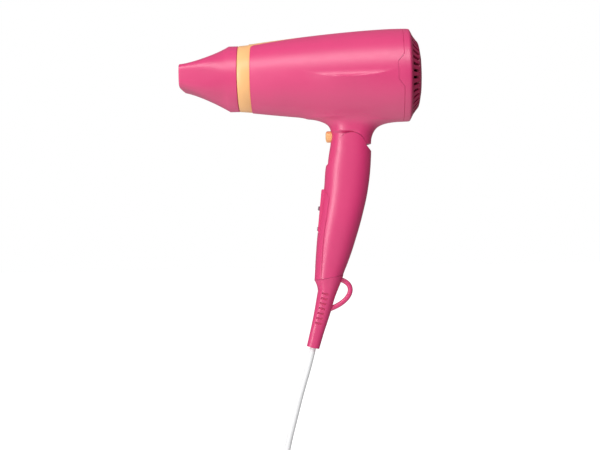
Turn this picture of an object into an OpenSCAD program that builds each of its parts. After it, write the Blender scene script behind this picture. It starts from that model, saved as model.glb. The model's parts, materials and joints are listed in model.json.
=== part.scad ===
// Folding hair dryer: every separate piece in its own module. Millimetres, +Z up.
// The nozzle points along -X, the switches face -X, and the casing halves meet at y = 0.
// The origin is the middle of the grip, where a hand or a clamp holds the dryer.

/* [Barrel] */
// Height of the barrel's axis above the fold hinge
axis_rise = 66; // [65:0.5:68]
// Outer radius of the barrel at the rear
rear_r = 42.8; // [42:0.1:44]
// Outer radius of the barrel behind the trim ring
front_r = 32; // [31.5:0.1:32.5]
// Distance from the hinge forward to the barrel's front edge
front_reach = 91.2; // [90:0.1:93]
// Distance from the hinge back to the rear cover's seam
seam_reach = 48.2; // [47.5:0.1:49]
// Wall thickness of the casings
wall = 2; // [1.8:0.1:2.2]

/* [Trim ring and nozzle] */
// Width of the trim ring
ring_width = 11.8; // [11:0.1:12.5]
// Outer radius of the trim ring's front edge and of the nozzle's collar
collar_r = 30.4; // [30:0.1:30.8]
// Overall length of the nozzle
nozzle_length = 52.8; // [50:0.1:56]
// Half height of the nozzle's slot, outside
slot_half_height = 11.5; // [10:0.1:12.5]
// Half width of the nozzle's slot, outside
slot_half_width = 30; // [28:0.5:32]

/* [Rear cover] */
// How far the intake grille stands back from the seam
dome_depth = 17.4; // [16.5:0.1:18]
// Number of slots around the intake grille
slot_count = 36; // [24:2:36]

/* [Handle] */
// Height of the hinge above the middle of the grip
hinge_z = 58; // [56:1:60]
// Distance of the hinge behind the middle of the grip
hinge_x = 9; // [8:0.5:10]
// Half width of the handle across its sides
handle_half_width = 17; // [17:0.1:17.5]
// Radius of the hinge ears
ear_r = 13.4; // [13:0.1:13.6]
// Radius of the neck's bore for the hinge pin
pin_bore = 3.05; // [3.05:0.05:3.3]
// Radius that the folding front of the neck sweeps
sweep_r = 28.8; // [28.4:0.1:29]

/* [Switches] */
// Travel of each slide switch each way from its middle
switch_travel = 4; // [3:0.5:4]
// Radius of the cool shot button
button_r = 5.3; // [5:0.1:5.4]
// Travel of the cool shot button
button_travel = 2; // [1.5:0.1:2.5]

/* [Cord] */
// Diameter of the mains cord
cord_d = 6; // [5.5:0.1:6.5]
// Radius of the innermost turn of the stored cord
coil_inner_turn = 25; // [24:0.5:26]
// Turns side by side in the stored cord
coil_turns = 4; // [4:1:4]
// Length of each plug pin
pin_length = 19; // [18:0.5:19]
// Radius of each plug pin
pin_r = 2.4; // [2.4:0.05:2.45]

/* [Hidden] */
$fn = 96;

shell_pink = [0.85, 0.25, 0.47];
grille_pink = [0.45, 0.1, 0.25];
trim_yellow = [0.98, 0.72, 0.45];
far = 400;
gap = 0.3;
run = 0.05;

// Places along the barrel, measured from the hinge
ring_front = -front_reach - ring_width;
collar_front = ring_front - 9;
tip_x = ring_front - gap - nozzle_length;
tip_rise = 1.5;
button_z = 10.5;
full_x = 40;

// Radius of the barrel's outside at x
function barrel_r(x) = x >= full_x ? rear_r
    : rear_r - (rear_r - front_r) * pow((full_x - x) / (full_x + front_reach), 1.5);
function mix(a, b, t) = a + (b - a) * t;
function ease(t) = let(u = min(max(t, 0), 1)) u * u * (3 - 2 * u);
// Sideways reach of a quarter ellipse fillet, from 0 at t = 0 to 1 at t = 1
function fillet(t) = let(u = min(max(t, 0), 1)) 1 - sqrt(1 - u * u);
function power(v, n) = sign(v) * pow(abs(v), 2 / n);

module at_hinge() translate([hinge_x, 0, hinge_z]) children();
module at_axis() at_hinge() translate([0, 0, axis_rise]) rotate([0, 90, 0]) children();
// Revolves an outline of [x, radius] points around the barrel's axis
module turned(outline) at_axis() rotate_extrude() polygon([for (p = outline) [p[1], p[0]]]);
// A cylinder along Y about the hinge, from y0 to y1
module cross_pin(r, y0, y1) translate([0, y1, 0]) rotate([90, 0, 0]) cylinder(r = r, h = y1 - y0);
// A plate of an x-z outline, from y0 to y1
module plate(outline, y0, y1) translate([0, y1, 0]) rotate([90, 0, 0])
    linear_extrude(y1 - y0) polygon(outline);
// One side of a casing: -1 keeps the left, where y is negative, and 1 keeps the right
module half_of(side) intersection() {
    children();
    translate([-far, side < 0 ? -far : 0, -far]) cube([2 * far, far, 2 * far]);
}
// Joins a curved shell into one skin before its bores are cut; the zeros leave its size as it is
module skin() resize([0, 0, 0]) children();
// Skins a stack of rings that all have the same number of points, clockwise seen from before the first
module loft(rings) {
    n = len(rings[0]);
    last = len(rings) - 1;
    polyhedron(
        points = [for (ring = rings) for (p = ring) p],
        faces = concat([[for (i = [0:n - 1]) i]], [[for (i = [0:n - 1]) last * n + n - 1 - i]],
            [for (k = [0:last - 1]) for (i = [0:n - 1]) let(j = (i + 1) % n)
                each [[k * n + i, (k + 1) * n + i, k * n + j],
                      [k * n + j, (k + 1) * n + i, (k + 1) * n + j]]]));
}

// ---- barrel and neck ----

neck_sides = 32;
// Above this height the neck's sides rise straight to meet the barrel along its own slope
flare_z = 32.2;
neck_levels = [41, 36, flare_z, 30, 27.4, 26, 24, 21.5, 18.5, 15, 12.5, 10, 4, -6, -14, -22];
function neck_front(z) = -18.8 - 15 * fillet((z - 13) / 14.5) - 3.6 * ease((12 - z) / 29);
function neck_rear(z) = 18.1 + 19 * fillet((z - 4) / 20);
function neck_half(z) = handle_half_width + 10.5 * fillet((min(z, flare_z) - 14) / 22)
    + 0.6 * max(0, z - flare_z);
// The neck's front cheeks are narrower than the ears, so they fold inside the handle
function cheek(z, c) = 2.6 * ease((15.6 - z) / 3) * ease(0.6 - c * 2);
function neck_ring(z, inset) = [for (i = [0:neck_sides - 1]) let(t = 360 * i / neck_sides,
    c = cos(t), f = neck_front(z) + inset, r = neck_rear(z) - inset)
    [(f + r) / 2 + (r - f) / 2 * power(c, 2.4),
     -(neck_half(z) - inset - cheek(z, c)) * power(sin(t), 2.4), z]];
neck_hollow = [[-16.5, 34], [16, 34], [14.5, 8], [9, -30], [-10, -30], [-21, -24], [-17.2, -2], [-16.5, 8]];
neck_below = [[-9, -9], [-21, -21], [-26, -26], [-26, -40], [40, -40], [40, 4.2], [17.8, 3.4], [12.8, 2.6],
    [12, -4], [6, -10.5]];

module neck_outer() at_hinge() loft([for (z = neck_levels) neck_ring(z, 0)]);
module barrel_outer() turned([[-front_reach, 0], [-front_reach, front_r],
    for (x = [-80:20:30]) [x, barrel_r(x)], [full_x, rear_r], [seam_reach, rear_r], [seam_reach, 0]]);
module barrel_inner() turned([[-front_reach - 1, 0], [-front_reach - 1, front_r - wall],
    for (x = [-80:20:30]) [x, barrel_r(x) - wall], [full_x, rear_r - wall],
    [seam_reach + 1, rear_r - wall], [seam_reach + 1, 0]]);
module neck_clearance() at_hinge() {
    intersection() {
        plate(neck_hollow, -10.6, 10.6);
        loft([for (z = neck_levels) [for (p = neck_ring(z, 1.8)) [p[0], p[1], z - (z < -21 ? 1 : 0)]]]);
    }
    for (y = [-far, 12.8]) cross_pin(ear_r + gap, y, y + far - 12.8);
    difference() {
        plate(neck_below, -far, far);
        cross_pin(12.8, -10.4, 10.4);
        cross_pin(10.6, -12.7, 12.7);
    }
}
module neck_bores() at_hinge() {
    cross_pin(pin_bore, -14, 14);
    translate([-24, 0, button_z]) rotate([0, 90, 0]) cylinder(r = button_r + gap, h = 12);
}
module sweep_limit() at_hinge() difference() {
    plate([[-60, -60], [60, -60], [60, 0], [-60, 0]], -far, far);
    cross_pin(sweep_r, -far, far);
}
// Outline of the trim ring's tongue, seen from above, with a filleted root
root_r = 4;
tongue_end = -38;
function tongue_half(x, grow) = grow + 4.4 + 9.6 * pow(max(0, (-38 - x) / (front_reach - 38)), 0.5)
    + root_r - sqrt(root_r * root_r - pow(min(root_r, max(0, root_r - x - front_reach)), 2));
module tongue_outline(grow) {
    xs = concat([for (d = [-2, 0, 0.4, 1, 1.8, 2.8, root_r, 9, 16, 24, 32, 40, 46]) d - front_reach], [tongue_end]);
    polygon(concat([for (x = xs) [x, -tongue_half(x, grow)]],
        [for (a = [-75:15:75]) [tongue_end + (4.4 + grow) * cos(a), (4.4 + grow) * sin(a)]],
        [for (k = [len(xs) - 1:-1:0]) [xs[k], tongue_half(xs[k], grow)]]));
}
module tongue_band(grow, depth) intersection() {
    at_hinge() translate([0, 0, axis_rise]) linear_extrude(60) tongue_outline(grow);
    turned([[-front_reach - 2, front_r - depth], [-front_reach - 2, front_r + grow],
        for (x = [-front_reach, -80, -60, -40, -30]) [x, barrel_r(x) + grow],
        for (x = [-30, -40, -60, -80, -front_reach]) [x, barrel_r(x) - depth]]);
}
tab_length = 5.1;
module tab_outline(grow) polygon([[seam_reach + 9, -30], [seam_reach - grow, -30],
    [seam_reach - grow, -14.3 - grow], [seam_reach - tab_length - grow, -8 - grow],
    [seam_reach - tab_length - grow, 8 + grow], [seam_reach - grow, 14.3 + grow],
    [seam_reach - grow, 30], [seam_reach + 9, 30]]);
module tabs(grow, r_in, r_out) intersection() {
    at_hinge() translate([0, far, axis_rise]) rotate([90, 0, 0]) linear_extrude(2 * far) tab_outline(grow);
    turned([[seam_reach - 9, r_in], [seam_reach - 9, r_out], [seam_reach + 0.5, r_out],
        [seam_reach + 0.5, r_in]]);
}
module barrel_shell(side) color(shell_pink) difference() {
    skin() half_of(side) difference() {
        union() {
            barrel_outer($fn = 64);
            neck_outer();
        }
        barrel_inner($fn = 64);
        neck_clearance($fn = 48);
        sweep_limit($fn = 64);
        tongue_band(0.1, 1.2, $fn = 64);
        tabs(0.15, rear_r - wall - 1, rear_r + 1, $fn = 64);
    }
    neck_bores();
}
module barrel_shell_left() barrel_shell(-1);
module barrel_shell_right() barrel_shell(1);

// ---- trim ring, outlet grille and nozzle ----

spigot_r = 28.2;
module trim_ring() color(trim_yellow) {
    turned([[ring_front, spigot_r - 1.6], [ring_front - 7, spigot_r - 1.6], [ring_front - 7, spigot_r],
        [ring_front, spigot_r], [ring_front, collar_r], [-front_reach - 0.1, front_r - 0.7],
        [-front_reach - 0.1, front_r - wall - 0.1], [-front_reach + 5, front_r - wall - 0.1],
        [-front_reach + 5, spigot_r - 0.2], [-front_reach, spigot_r - 1.6]]);
    tongue_band(0, 1.1);
}
module outlet_grille() color("dimgray") at_axis() translate([0, 0, ring_front + 1]) {
    for (r = [5, 11, 17, 23]) difference() {
        cylinder(r = r, h = 2);
        translate([0, 0, -1]) cylinder(r = r - 1, h = 4);
    }
    difference() {
        for (a = [0:45:135]) rotate(a) translate([-26.4, -0.6, 0]) cube([52.8, 1.2, 2]);
        translate([0, 0, -1]) cylinder(r = 4.5, h = 4);
    }
    difference() {
        cylinder(r = spigot_r - 1.7, h = 2);
        translate([0, 0, -1]) cylinder(r = spigot_r - 3, h = 4);
    }
}
nozzle_sides = 48;
mouth_power = 5;
// Section of the nozzle at t, 0 at the tip and 1 at the collar
function nozzle_ring(t, inset) = let(x = mix(tip_x, collar_front, t),
    h = mix(slot_half_height, collar_r, pow(t, 1.38)) - inset,
    w = mix(slot_half_width, collar_r, ease(t)) - inset, n = mix(mouth_power, 2, ease(t)))
    [for (i = [0:nozzle_sides - 1]) let(a = 360 * i / nozzle_sides)
        [x, -w * power(cos(a), n), axis_rise + tip_rise * (1 - t) * (1 - t) + h * power(sin(a), n)]];
module nozzle() color(shell_pink) {
    skin() at_hinge() difference() {
        loft([for (k = [8:-1:0]) nozzle_ring(k / 8, 0)]);
        loft([for (k = [8:-1:0]) let(past = k == 0 ? -1 : k == 8 ? 1 : 0)
            [for (p = nozzle_ring(k / 8, 1.8)) [p[0] + past, p[1], p[2]]]]);
    }
    // The collar, whose lip stops the ring's spigot
    turned([[collar_front - 2, spigot_r - 1], [collar_front - 2, spigot_r + 0.3],
        [collar_front - 1, spigot_r + 0.6], [collar_front - 1, collar_r + 0.05],
        [ring_front - gap, collar_r + 0.05], [ring_front - gap, spigot_r + run],
        [collar_front, spigot_r + run], [collar_front, spigot_r - 1]]);
}

// ---- rear cover ----

cover_edge = seam_reach + 6.8;
dome_base = cover_edge - 0.8;
dome_end = seam_reach + dome_depth;
module rear_cover() color(shell_pink) {
    turned([[seam_reach, rear_r - 3.4], [seam_reach, rear_r], [cover_edge - 1.2, rear_r - 0.2],
        [cover_edge, rear_r - 1.2], [cover_edge, rear_r - 3.4]]);
    tabs(0, rear_r - 2.6, rear_r);
    turned([[seam_reach - 8, rear_r - wall - 1.4 - gap], [seam_reach - 8, rear_r - wall - gap],
        [seam_reach + 1, rear_r - wall - gap], [seam_reach + 1, rear_r - wall - 1.4 - gap]]);
}
module intake_grille() color(grille_pink) difference() {
    turned([[dome_base - 2, 0], [dome_base - 2, rear_r - 3.5], [cover_edge, rear_r - 3.5],
        [cover_edge, rear_r - 2.2], [cover_edge + 0.3, rear_r - 2.4], [dome_base + 8.6, 28.4], [dome_base + 9.8, 24],
        [dome_end - 0.4, 12], [dome_end, 0], [dome_end - 2, 0], [dome_end - 2.6, 13],
        [dome_base + 7.8, 24], [dome_base + 6.8, 27], [dome_base, 37], [dome_base - 1, 37],
        [dome_base - 1, 0]]);
    at_axis() for (i = [0:slot_count - 1]) rotate(360 * i / slot_count)
        translate([29, -1.4, dome_base - 4]) cube([8, 2.8, 30]);
    at_axis() for (i = [0:17]) rotate(20 * i)
        translate([12, -1.3, dome_base - 4]) cube([12, 2.6, 30]);
}
module dust_mesh() color("gray") turned([[dome_base - 3, 0], [dome_base - 3, rear_r - 4.2],
    [dome_base - 2.2, rear_r - 4.2], [dome_base - 2.2, 0]]);

// ---- fan, motor and heater ----

fan_r = 35;
fan_x = 20;
motor_r = 14;
module fan_housing() color([0.9, 0.88, 0.82]) {
    turned([[-25, 29.2], [-25, 30.4], [-17, fan_r + 2.2], [35.5, fan_r + 2.2], [36, fan_r + 5.6],
        [38, fan_r + 5.6], [38, fan_r + 1], [-17.4, fan_r + 1]]);
}
// The ring round the motor and its nine vanes, which stand in the housing
module motor_mount() color([0.9, 0.88, 0.82]) {
    turned([[-18, motor_r + run], [-18, motor_r + 1.6], [14, motor_r + 1.6], [14, motor_r + run]]);
    at_axis() for (a = [0:40:320]) rotate(a)
        translate([motor_r + 1.3, -0.7, -14]) cube([fan_r - motor_r - 0.4, 1.4, 24]);
}
module fan_impeller() color([0.35, 0.35, 0.38]) {
    turned([[fan_x, 1], [fan_x, 13], [fan_x + 11, 13], [fan_x + 14, 8], [fan_x + 15, 1]]);
    at_axis() for (i = [0:8]) rotate(40 * i) translate([12, 0, fan_x + 6.5])
        rotate([40, 0, 0]) translate([0, -1, -7]) cube([fan_r - 13.5, 2, 14]);
}
module motor_can() color("silver") difference() {
    union() {
        turned([[-20, 0], [-20, motor_r - 1], [-19, motor_r], [13, motor_r], [14, motor_r - 1], [14, 0]]);
        turned([[13, 0], [13, 4.5], [16, 4.5], [16, 0]]);
    }
    turned([[-12, 0], [-12, 1 + run], [17, 1 + run], [17, 0]]);
}
module motor_shaft() color("silver") turned([[-12, 0], [-12, 1], [fan_x + 15, 1], [fan_x + 15, 0]]);
module rectifier_board() color("darkgreen") {
    difference() {
        turned([[-24, 0], [-24, 12], [-22.4, 12], [-22.4, 0]]);
        at_axis() for (a = [60, 240]) rotate(a) translate([8, 0, -30]) cylinder(r = 0.8, h = 10);
    }
    at_axis() for (a = [0:90:270]) rotate(a) translate([5, -1.4, -27]) cube([5, 2.8, 3]);
}
heater_front = -90;
heater_back = -30;
module mica_cross() color([0.75, 0.66, 0.5]) at_axis() translate([0, 0, heater_front]) {
    translate([-19.5, -0.4, 0]) cube([39, 0.8, heater_back - heater_front]);
    for (y = [-19.5, 0.4]) translate([-0.4, y, 0]) cube([0.8, 19.1, heater_back - heater_front]);
}
coil_steps = 96;
coil_wire_sides = 6;
// One ring of the heating coil's wire, at angle a of six turns
function coil_ring(a) = [for (i = [0:coil_wire_sides - 1]) let(b = -360 * i / coil_wire_sides,
    r = 21.2 + 1.1 * cos(b), x = heater_front + 8 + a / 2160 * 44 + 1.1 * sin(b))
    [r * cos(a), r * sin(a), x]];
module heating_coil() color([0.6, 0.58, 0.55]) at_axis()
    loft([for (k = [0:coil_steps]) coil_ring(2160 * k / coil_steps)]);
module mica_sleeve() color([0.8, 0.72, 0.55]) turned([[heater_front - 2, 25.6], [heater_front - 2, 26.2],
    [heater_back + 4, 28.6], [heater_back + 4, 28]]);
module thermostat() color("tan") at_axis() translate([6, 4, heater_front + 12]) rotate([90, 0, 0]) {
    translate([0, 0, -3]) cylinder(r = 4.6, h = 3.4);
    translate([-3.5, -3.5, 0.4]) cube([7, 7, 2]);
}
module thermal_fuse() color("silver") at_axis() translate([-7, 3.4, heater_front + 14])
    cylinder(r = 1.8, h = 14);

// ---- cool shot button, in the front of the neck ----

module cool_shot_button() color(trim_yellow) at_hinge() translate([0, 0, button_z]) rotate([0, -90, 0]) {
    rotate_extrude() polygon([[0, 14.2], [5.9, 14.2], [5.9, 15.4], [button_r, 15.4], [button_r, 22.6],
        [4.4, 23.7], [2, 24], [0, 24]]);
    translate([0, 0, 11]) cylinder(r = 1.5, h = 4);
}
module cool_shot_spring() color("silver") at_hinge() translate([0, 0, button_z]) rotate([0, -90, 0])
    for (k = [0:2]) translate([0, 0, 9.3 + k * 1.2]) rotate_extrude($fn = 48)
        translate([2.9, 0]) circle(r = 0.35, $fn = 24);
module cool_shot_switch() color([0.15, 0.15, 0.17]) at_hinge()
    translate([-8.8, -5, button_z - 5]) difference() {
        cube([6.4, 10, 12]);
        translate([-1, -1, 4]) cube([1.6, 12, 2]);
    }
module barrel_wires() color([0.8, 0.8, 0.82]) at_hinge() for (y = [-4, 4]) {
    translate([5, y, 4]) cylinder(r = 1, h = 24, $fn = 24);
    translate([5, y, 4]) sphere(r = 1, $fn = 24);
}

// ---- handle ----

handle_sides = 32;
// Front and rear of the handle at height z, from the hinge
function handle_front(z) = lookup(z, [[-124, -37], [-98, -35], [-80, -33.2], [-60, -29.8], [-36, -26.2],
    [-22, -25], [-16, -24.1], [-8, -22.8], [0, -21.5], [20, -20]]);
function handle_rear(z) = lookup(z, [[-124, -12.6], [-114, -8.6], [-98, -2.3], [-81, 3.4], [-70, 6.8],
    [-56, 10.6], [-47, 12.8], [-36, 14.9], [-22, 16.8], [-3, 18.1], [20, 18.2]]);
function handle_half(z) = handle_half_width - 4.2 * ease((-60 - z) / 62);
handle_levels = [15, 0, -8, -16, -22, -36, -47, -60, -70, -81, -98, -114, -124];
function handle_ring(z, inset) = [for (i = [0:handle_sides - 1]) let(t = 360 * i / handle_sides,
    f = handle_front(z) + inset, r = handle_rear(z) - inset)
    [(f + r) / 2 + (r - f) / 2 * power(cos(t), 2.4), -(handle_half(z) - inset) * power(sin(t), 2.4), z]];
// The side of the handle: an ear at the hinge, the notch behind it, and a tilted lower end
handle_side = concat([for (a = [12:8:202]) [ear_r * cos(a), ear_r * sin(a)]],
    [[-24.1, -16.6], [-40, -16.6], [-50, -124.3], [-36.9, -122.1], [-9.6, -117.6], [8, -114.7], [30, -60],
     [18, -3.4], [13.2, 2.2]]);
screw_places = [[-22, -88], [5.5, -34]];
screw_r = 1.5;
module at_screws() at_hinge() for (p = screw_places) translate([p[0], 0, p[1]]) children();
fold_wall = 1.2;
fold_levels = [16, 0, -8, -16, -22, -30];
module handle_cavity() at_hinge() loft([for (z = handle_levels) [for (p = handle_ring(z, wall))
    [p[0], p[1], z + (z > 14 ? 1 : z < -123 ? -1 : 0)]]]);
// Room for the neck's front, which turns inside the handle as the dryer folds
module fold_room() at_hinge() intersection() {
    cross_pin(sweep_r + 0.5, -20, 20);
    loft([for (z = fold_levels) handle_ring(z, fold_wall)]);
}
module handle_half_shell(side) color(shell_pink) difference() {
    skin() half_of(side) {
        difference() {
            intersection() {
                at_hinge() loft([for (z = handle_levels) handle_ring(z, 0)]);
                at_hinge() plate(handle_side, -40, 40);
            }
            handle_cavity();
            fold_room($fn = 64);
            at_hinge() cross_pin(ear_r + 0.6, -13.05, 13.05, $fn = 64);
            panel_frame() translate([-4, -7.6, -20.1]) cube([8, 15.2, 40.2]);
        }
        at_hinge() for (y = [-15.7, 13.05]) cross_pin(6, y, y + 2.65, $fn = 32);
        at_screws() rotate([90, 0, 0]) cylinder(r = 3.4, h = 26, center = true, $fn = 32);
    }
    at_hinge() cross_pin(pin_bore - run, -15.9, 15.9);
    at_screws() {
        rotate([90, 0, 0]) cylinder(r = screw_r + run, h = 20, center = true);
        translate([0, 32, 0]) rotate([90, 0, 0]) cylinder(r = 3, h = 22);
    }
}
module handle_shell_left() handle_half_shell(-1);
module handle_shell_right() handle_half_shell(1);
module handle_screws() color("silver") at_screws() rotate([-90, 0, 0]) {
    translate([0, 0, -9.5]) cylinder(r = screw_r, h = 19.6);
    difference() {
        translate([0, 0, 10]) cylinder(r = 2.8, h = 1.8);
        translate([-2, -0.4, 11.2]) cube([4, 0.8, 1]);
    }
}
module hinge_pin() color("silver") at_hinge() cross_pin(pin_bore - run, -15.8, 15.8);
module hinge_spring() color("silver") at_hinge() difference() {
    cross_pin(5.6, 12.85, 13.05);
    cross_pin(3.1, 12, 14);
}

// ---- switches on the handle's front ----

panel_tilt = 6.3;
panel_x = -28.9;
panel_z = -58;
speed_z = 2;
heat_z = -17 + switch_travel;
module panel_frame() at_hinge() translate([panel_x, 0, panel_z]) rotate([0, panel_tilt, 0]) children();
// A plate with rounded ends that faces -X, in the panel's frame
module rounded_plate(x0, x1, half_y, half_z) translate([x1, 0, 0]) rotate([0, -90, 0])
    linear_extrude(x1 - x0) hull() for (a = [-1, 1], b = [-1, 1])
        translate([a * (half_z - 3), b * (half_y - 3)]) circle(r = 3);
module switch_panel() color(shell_pink) panel_frame() difference() {
    rounded_plate(-1.9, 1.6, 7.4, 19.9);
    for (z = [speed_z, heat_z]) translate([-3, -3.1, z - 2.6 - switch_travel])
        cube([6, 6.2, 5.2 + 2 * switch_travel]);
}
// A slide knob with three grip ridges, standing proud of the panel
module knob(z, proud) panel_frame() translate([0, 0, z]) {
    translate([-1.8 - proud, -2.8, -2]) cube([proud + 3.9, 5.6, 4]);
    translate([2.1, -4.6, -2.9]) cube([1.2, 9.2, 5.8]);
    for (y = [-1.8:1.8:1.8]) translate([-2.2 - proud, y - 0.4, -1.6]) cube([0.6, 0.8, 3.2]);
}
module speed_slider() color([0.45, 0.42, 0.44]) knob(speed_z, 1.6);
module heat_slider() color([0.45, 0.42, 0.44]) knob(heat_z - switch_travel, 0.7);
module switch_body(z) panel_frame() translate([3.6, -6, z - 7.6]) {
    cube([9, 12, 15.2]);
    for (k = [-4, 0, 4]) translate([8.9, 5.4, k + 7]) cube([3.5, 1.2, 1.2]);
}
module speed_switch() color([0.15, 0.15, 0.17]) switch_body(speed_z);
module heat_switch() color([0.15, 0.15, 0.17]) switch_body(heat_z - 1.6);
module suppression_capacitor() color("gold") at_hinge() translate([-9, -5, -78]) cube([10, 10, 12]);
module handle_wires() color([0.8, 0.8, 0.82]) at_hinge() for (y = [-3, 3])
    hull() for (p = [[-21, -104.5], [-6, -86]]) translate([p[0], y, p[1]]) sphere(r = 1.1, $fn = 16);

// ---- strain relief with its hanging loop, and the cord clamp ----

relief_tilt = 14;
relief_length = 66.7;
relief_top = [-23.2, -120];
relief_sides = 32;
module relief_frame() at_hinge() translate([relief_top[0], 0, relief_top[1]])
    rotate([0, relief_tilt, 0]) children();
// Front, rear and half width of the strain relief at s below its top
function relief_front(s) = lookup(s, [[0, -12.8], [4, -11.1], [9, -9.2], [14, -7.7], [20, -7.2],
    [40, -6.2], [68, -6]]);
function relief_rear(s) = lookup(s, [[0, 12.5], [4, 11.9], [14, 9.8], [32, 8.6], [52, 6.8], [68, 5.9]]);
// Slope of the section at s: the top leans with the handle's end, and the rest is square to the cord
function relief_slope(s) = 0.431 * max(0, 1 - s / 13);
function relief_half(s) = 5.6 + 7 * pow(1 - min(max(s, 0), 50) / 50, 1.6);
function relief_ring(s) = [for (i = [0:relief_sides - 1]) let(t = 360 * i / relief_sides,
    f = relief_front(s), r = relief_rear(s), x = (f + r) / 2 + (r - f) / 2 * power(cos(t), 2.4))
    [x, -relief_half(s) * power(sin(t), 2.4), -s + relief_slope(s) * x]];
// Middle line of the hanging loop, as a cubic Bezier curve
loop_a = [10, 0.5];
loop_b = [26, 0.5];
loop_c = [27, -16];
loop_d = [6, -29];
function loop_mid(t) = pow(1 - t, 3) * loop_a + 3 * pow(1 - t, 2) * t * loop_b
    + 3 * (1 - t) * t * t * loop_c + pow(t, 3) * loop_d;
function loop_side(t, w) = let(d = loop_mid(t + 0.01) - loop_mid(t - 0.01), u = d / norm(d))
    loop_mid(t) + w * [-u[1], u[0]];
module relief_grooves() for (k = [0:6]) let(s = 16 + 4.7 * k, deep = relief_half(s) - 1.2)
    translate([-20, 0, -s]) {
        translate([0, -20, 0]) cube([12.6 + 0.1 * k, 40, 2]);
        for (y = [-20, deep]) translate([17, y, 0]) cube([6, 20 - deep, 1.8]);
    }
module strain_relief() color(shell_pink) relief_frame() difference() {
    skin() difference() {
        union() {
            loft([for (s = [0, 4, 9, 14, 20, 32, 42, 52, relief_length]) relief_ring(s)]);
            plate(concat([for (k = [0:12]) loop_side(k / 12, 2.3)],
                [for (k = [12:-1:0]) loop_side(k / 12, -2.3)]), -3, 3);
        }
        relief_grooves();
    }
    translate([0, 0, -relief_length - 1]) cylinder(r = cord_d / 2 + run, h = 31);
}
clamp_z = -109;
module cord_clamp() color("dimgray") at_hinge() translate([-22, 0, clamp_z]) difference() {
    translate([-4, -9, -3]) cube([8, 18, 6]);
    translate([0, 0, -4]) cylinder(r = 3.2, h = 8);
    for (y = [-6.5, 6.5]) translate([-5, y, 0]) rotate([0, 90, 0]) cylinder(r = 1.25, h = 10);
}
module clamp_screws() color("silver") at_hinge() for (y = [-6.5, 6.5])
    translate([-22, y, clamp_z]) rotate([0, 90, 0]) {
        translate([0, 0, -4]) cylinder(r = 1.2, h = 8);
        translate([0, 0, 4]) cylinder(r = 2.2, h = 1.4);
    }

// ---- mains cord, stored coil and plug ----

floor_z = -330;
coil_mid = [-111, 0];
cord_r = cord_d / 2;
coil_width = coil_turns * cord_d;
// Middle of the cord from the strain relief down to the stored coil, from the hinge
route = [[-39, 0, -183], [-42, 0, -195], [-46, 0, -209], [-50, 0, -222], [-54, 0, -236], [-58, 0, -251],
    [-62, 0, -266], [-65, 0, -279], [-67, 1, -291], [-68, 5, -303], [-68, 12, -314], [-69, 22, -322],
    [-74, 33, -326], [-83, 41, -327], [-95, 45, -327]];
// The stretch from the coil to the plug
tail = [[-101, -42, -321], [-90, -42, -321], [-78, -39, -321], [-67, -36, -321], [-58, -35, -321]];
function ring_frame(path, i) = let(a = path[max(i - 1, 0)], b = path[min(i + 1, len(path) - 1)],
    d = (b - a) / norm(b - a), u = cross(d, [0, 0, 1] + 0.9 * [0, 1, 0]), v = u / norm(u)) [v, cross(d, v)];
// Adds a point halfway along each stretch of a path, on a smooth curve
function finer(path) = [for (i = [0:len(path) - 2]) let(p = path[i], q = path[i + 1],
    a = path[max(i - 1, 0)], b = path[min(i + 2, len(path) - 1)]) each [p, (9 * (p + q) - a - b) / 16],
    path[len(path) - 1]];
module tube(path, r) at_hinge() loft([for (i = [0:len(path) - 1]) let(f = ring_frame(path, i))
    [for (k = [0:9]) path[i] + r * (cos(36 * k) * f[0] + sin(36 * k) * f[1])]]);
module cord_tube() color([0.88, 0.88, 0.9]) {
    tube(finer(route), cord_r);
    tube(finer(tail), cord_r);
}
module cord_coil() color([0.88, 0.88, 0.9]) at_hinge() translate([coil_mid[0], coil_mid[1], floor_z])
    rotate_extrude() translate([coil_inner_turn - cord_r, 0])
        square([coil_width, 2 * cord_d]);
tie_angle = 150;
module cord_tie() color([0.2, 0.2, 0.22]) at_hinge() translate([coil_mid[0], coil_mid[1], floor_z])
    rotate(tie_angle) difference() {
        translate([coil_inner_turn - cord_r - 1.5, -4, 0]) cube([coil_width + 2.5, 8, 2 * cord_d + 1]);
        translate([coil_inner_turn - cord_r - 0.5, -5, -1]) cube([coil_width + 0.5, 10, 2 * cord_d + 1]);
    }
plug_y = -35;
plug_z = floor_z + 9;
plug_x = -36;
pin_root_r = 2;
module plug_frame() at_hinge() translate([plug_x, plug_y, plug_z]) children();
module plug_relief() color([0.88, 0.88, 0.9]) plug_frame() rotate([0, 90, 0]) difference() {
    translate([0, 0, -24]) rotate_extrude() polygon([[0, 0], [4, 0], [4.6, 4], [4.2, 5], [4.2, 6],
        [5.1, 7], [5.2, 9], [4.7, 10], [4.7, 11], [5.7, 12], [5.8, 14], [5.3, 15], [5.3, 16],
        [6.4, 17], [6.6, 24], [0, 24]]);
    translate([0, 0, -25]) cylinder(r = cord_r + run, h = 4);
}
// A two-pole contour plug lying on its flat side
module plug_body() color([0.88, 0.88, 0.9]) plug_frame() difference() {
    hull() for (y = [-9.5, 9.5]) translate([0, y, 0]) rotate([0, 90, 0]) {
        cylinder(r = 6.6, h = 0.5, $fn = 32);
        translate([0, 0, 14]) cylinder(r = 8.2, h = 18, $fn = 32);
    }
    for (y = [-9.5, 9.5]) translate([20, y, 0]) rotate([0, 90, 0])
        cylinder(r = pin_root_r, h = 20);
}
module plug_pins() color("silver") plug_frame() for (y = [-9.5, 9.5])
    translate([20, y, 0]) rotate([0, 90, 0]) {
        cylinder(r = pin_root_r, h = 12);
        translate([0, 0, 12]) cylinder(r = pin_r, h = pin_length - 1);
        translate([0, 0, 11 + pin_length]) cylinder(r1 = pin_r, r2 = pin_r - 1, h = 1);
    }

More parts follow.
